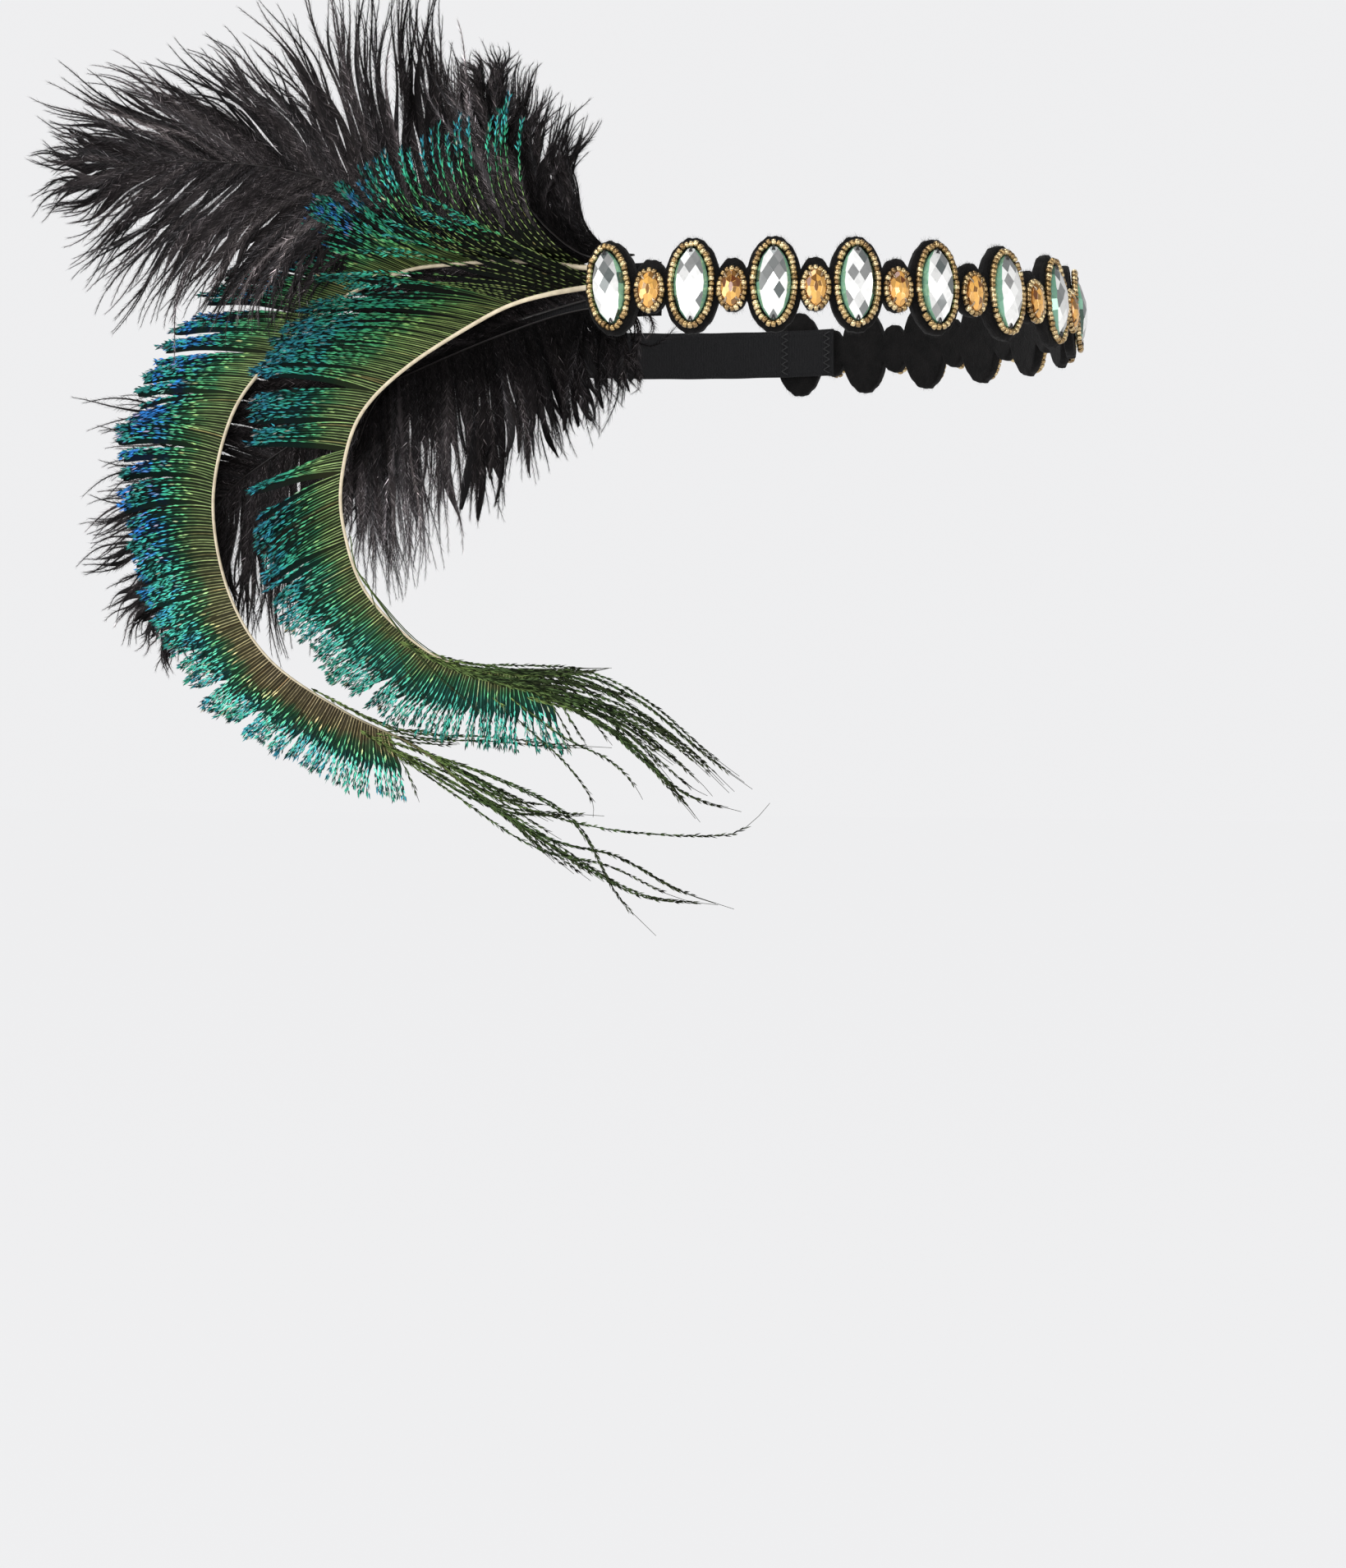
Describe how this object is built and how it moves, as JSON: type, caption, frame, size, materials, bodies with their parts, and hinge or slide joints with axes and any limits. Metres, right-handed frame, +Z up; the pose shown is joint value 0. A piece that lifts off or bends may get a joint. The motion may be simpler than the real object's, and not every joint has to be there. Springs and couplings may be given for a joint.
{
  "type": "flapper headband",
  "caption": "Worn felt headband ring with sewn oval crystals, amber stones and gold seed beads, an elastic back, and peacock sword and ostrich feathers at one side.",
  "frame": {"origin": "middle of the head's oval at the height of the band's middle line", "axes": "+Z up through the crown of the head, -Y towards the forehead, -X towards the wearer's right, where the feathers are"},
  "size_m": [0.1956, 0.2873, 0.273],
  "materials": {
    "black_felt": "thick wool felt, matt",
    "black_elastic": "ribbed woven elastic",
    "mint_crystal": "foil-backed, faceted, polished",
    "gold_beads": "antique gold lustre glass beads",
    "amber_glass": "foil-backed, faceted, polished",
    "peacock_barbs": "iridescent feather barbs on a cream quill",
    "black_ostrich": "soft feather flues, matt"
  },
  "bodies": {
    "root": {"felt_band": "black_felt", "elastic_band": "black_elastic", "crystal_01": "mint_crystal", "crystal_02": "mint_crystal", "crystal_03": "mint_crystal", "crystal_04": "mint_crystal", "crystal_05": "mint_crystal", "crystal_06": "mint_crystal", "crystal_07": "mint_crystal", "crystal_08": "mint_crystal", "crystal_09": "mint_crystal", "crystal_10": "mint_crystal", "crystal_11": "mint_crystal", "crystal_12": "mint_crystal", "crystal_13": "mint_crystal", "crystal_14": "mint_crystal", "bead_ring_01": "gold_beads", "bead_ring_02": "gold_beads", "bead_ring_03": "gold_beads", "bead_ring_04": "gold_beads", "bead_ring_05": "gold_beads", "bead_ring_06": "gold_beads", "bead_ring_07": "gold_beads", "bead_ring_08": "gold_beads", "bead_ring_09": "gold_beads", "bead_ring_10": "gold_beads", "bead_ring_11": "gold_beads", "bead_ring_12": "gold_beads", "bead_ring_13": "gold_beads", "bead_ring_14": "gold_beads", "amber_motif_01": "amber_glass", "amber_motif_02": "amber_glass", "amber_motif_03": "amber_glass", "amber_motif_04": "amber_glass", "amber_motif_05": "amber_glass", "amber_motif_06": "amber_glass", "amber_motif_07": "amber_glass", "amber_motif_08": "amber_glass", "amber_motif_09": "amber_glass", "amber_motif_10": "amber_glass", "amber_motif_11": "amber_glass", "amber_motif_12": "amber_glass", "amber_motif_13": "amber_glass", "sword_feather_inner": "peacock_barbs", "sword_feather_outer": "peacock_barbs", "ostrich_plume_rear": "black_ostrich", "ostrich_plume_top": "black_ostrich", "ostrich_plume_lower": "black_ostrich", "ostrich_plume_back": "black_ostrich"}
  },
  "joints": []
}
